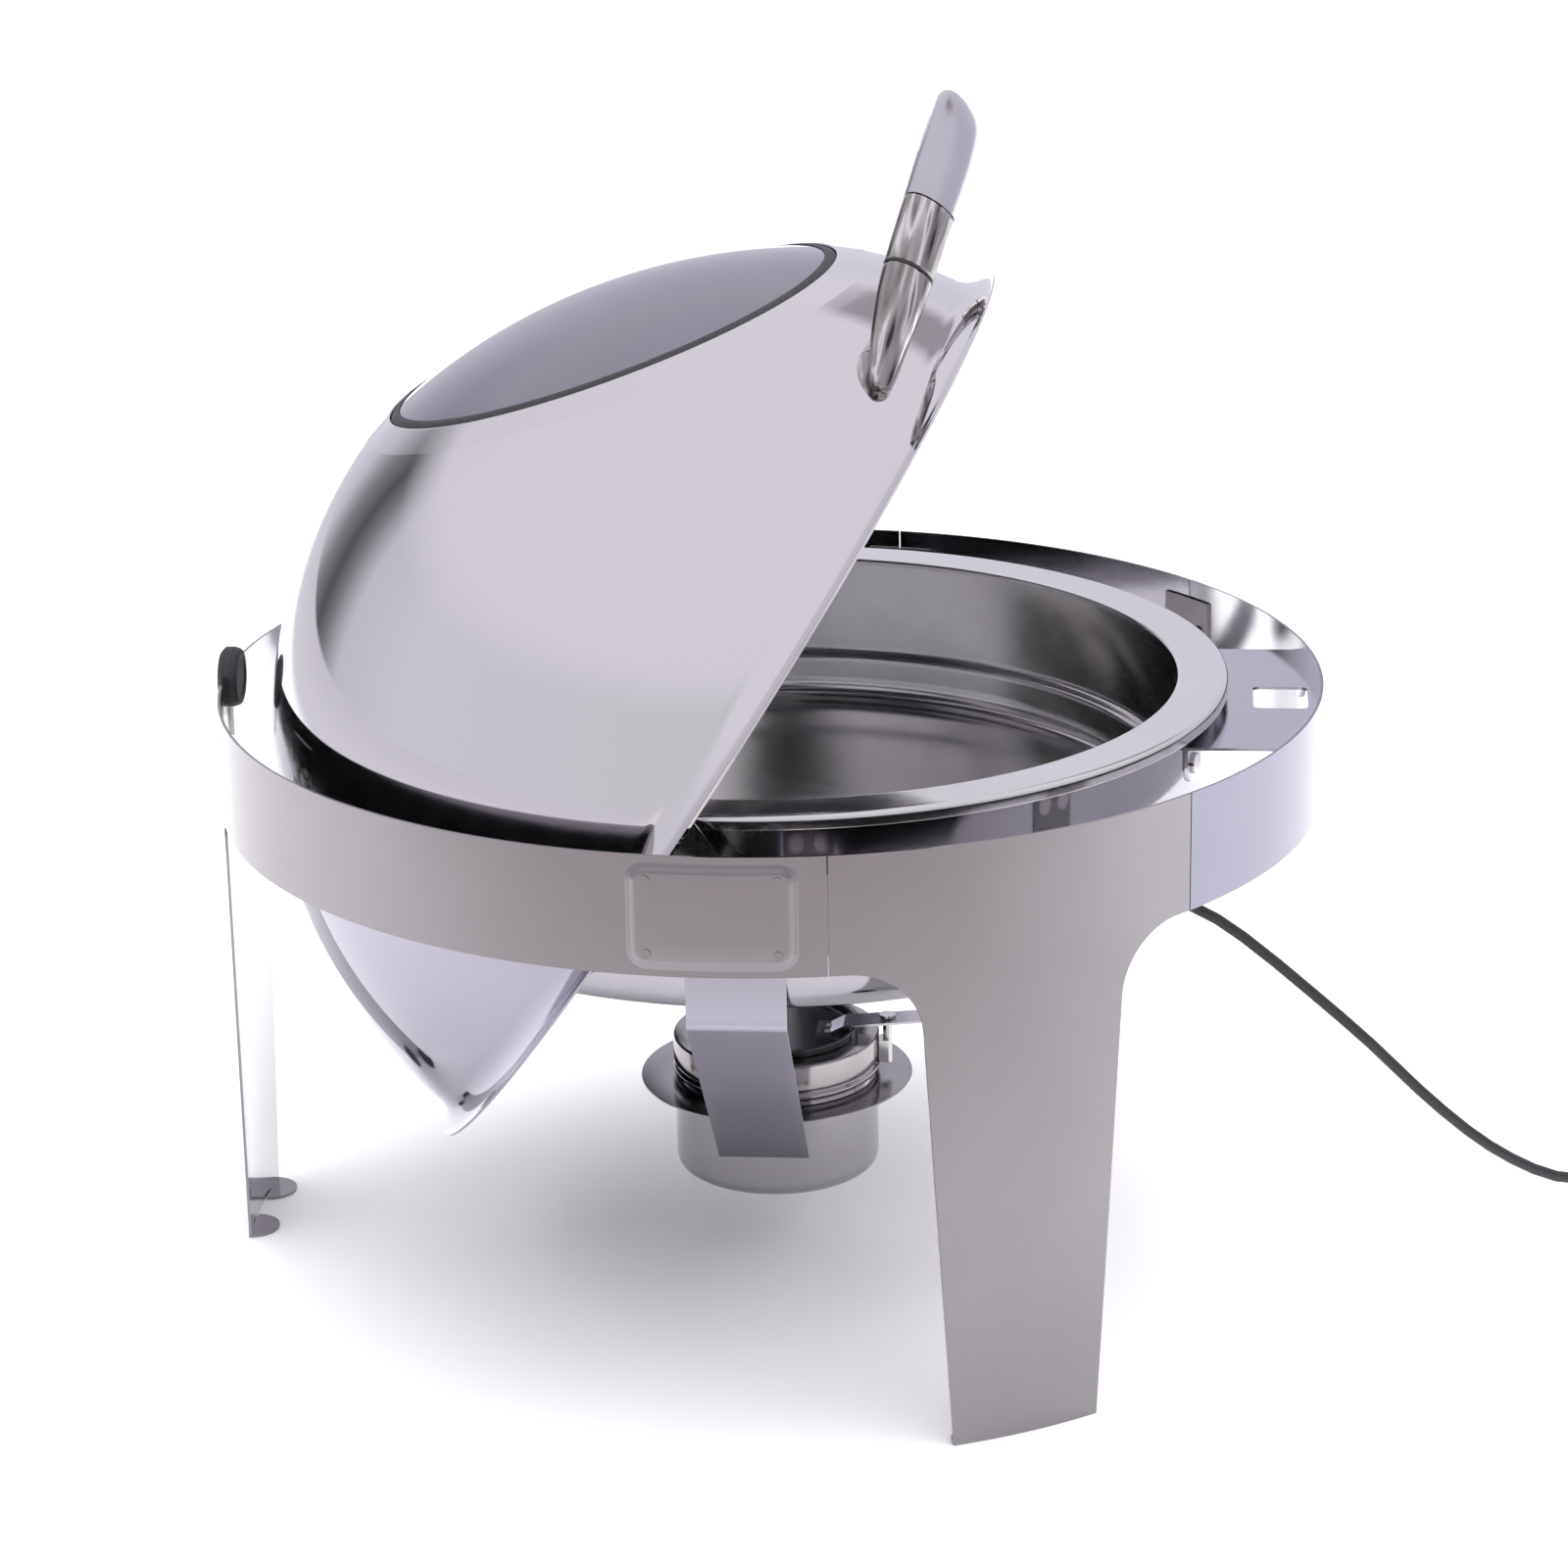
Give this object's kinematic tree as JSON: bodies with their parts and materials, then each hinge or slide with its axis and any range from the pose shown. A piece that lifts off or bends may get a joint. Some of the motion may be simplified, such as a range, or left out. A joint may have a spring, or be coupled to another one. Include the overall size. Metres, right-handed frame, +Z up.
{
  "type": "roll top chafer",
  "caption": "Round roll-top chafer on a legged ring stand, with a rolling domed lid, window, bow handle, food and water pans, fuel burner and electric heater.",
  "frame": {"origin": "on the floor under the middle of the ring", "axes": "+Z up; the front, where the lid opens, faces -Y; the lid's hinge axis runs along X"},
  "size_m": [0.4732, 0.7029, 0.5033],
  "materials": {
    "polished_steel": "mirror-polished stainless sheet",
    "satin_steel": "satin brushed stainless",
    "cast_chrome": "polished cast metal",
    "black_rubber": "matt black rubber",
    "dark_plastic": "dark moulded plastic",
    "smoked_glass": "smoked toughened glass",
    "heater_case": "cast heater case",
    "dark_mirror": "dark glossy burner cover"
  },
  "bodies": {
    "stand": {"leg_front_left": "polished_steel", "leg_front_right": "polished_steel", "leg_back": "polished_steel", "rail_front": "polished_steel", "rail_left": "polished_steel", "rail_right": "polished_steel", "seam_plates": "polished_steel", "seam_rivets": "polished_steel", "hinge_cover_left": "polished_steel", "hinge_cover_right": "polished_steel", "hinge_cover_rivets": "polished_steel", "hinge_bracket_left": "polished_steel", "hinge_bracket_right": "polished_steel", "hinge_pin_left": "polished_steel", "hinge_pin_right": "polished_steel", "hinge_spacers": "polished_steel", "front_shelf": "polished_steel", "shelf_rivets": "polished_steel", "water_pan": "polished_steel", "pan_bolts": "polished_steel", "burner_strip_left": "satin_steel", "burner_strip_right": "satin_steel", "burner_holder": "satin_steel", "bumper": "black_rubber", "bumper_clip": "polished_steel", "heater_housing": "heater_case", "heater_screws": "polished_steel", "cord_gland": "black_rubber", "cord": "black_rubber", "cord_coil": "black_rubber", "cord_tie": "dark_plastic", "plug": "dark_plastic", "plug_pins": "polished_steel"},
    "lid": {"lid_shell": "polished_steel", "window_gasket": "black_rubber", "window_glass": "smoked_glass", "window_clamp_ring": "polished_steel", "lid_arm_left": "polished_steel", "lid_arm_right": "polished_steel", "handle_foot_left": "cast_chrome", "handle_foot_right": "cast_chrome", "handle_seals": "black_rubber", "handle_ferrule_left": "cast_chrome", "handle_ferrule_right": "cast_chrome", "handle_grip": "satin_steel", "handle_screws": "polished_steel"},
    "food_pan": {"food_pan": "satin_steel"},
    "burner": {"burner_drum": "polished_steel", "fuel_cup": "satin_steel", "drum_rivets": "polished_steel", "cover_post": "polished_steel"},
    "burner_cover": {"burner_cover": "dark_mirror", "cover_handle": "satin_steel", "cover_rivets": "polished_steel"}
  },
  "joints": [
    {"name": "lid_hinge", "type": "hinge", "parent": "stand", "child": "lid", "pos_m": [0, 0.004, 0.2287], "axis": [-1, 0, 0], "range_deg": [-58, 33.2]},
    {"name": "pan_lift", "type": "slide", "parent": "stand", "child": "food_pan", "axis": [0, 0, 1], "range_m": [0, 0.02]},
    {"name": "burner_lift", "type": "slide", "parent": "stand", "child": "burner", "axis": [0, 0, 1], "range_m": [0, 0.03]},
    {"name": "cover_swivel", "type": "hinge", "parent": "burner", "child": "burner_cover", "pos_m": [0, -0.0489, 0.09], "axis": [0, 0, 1], "range_deg": [0, 95]}
  ]
}
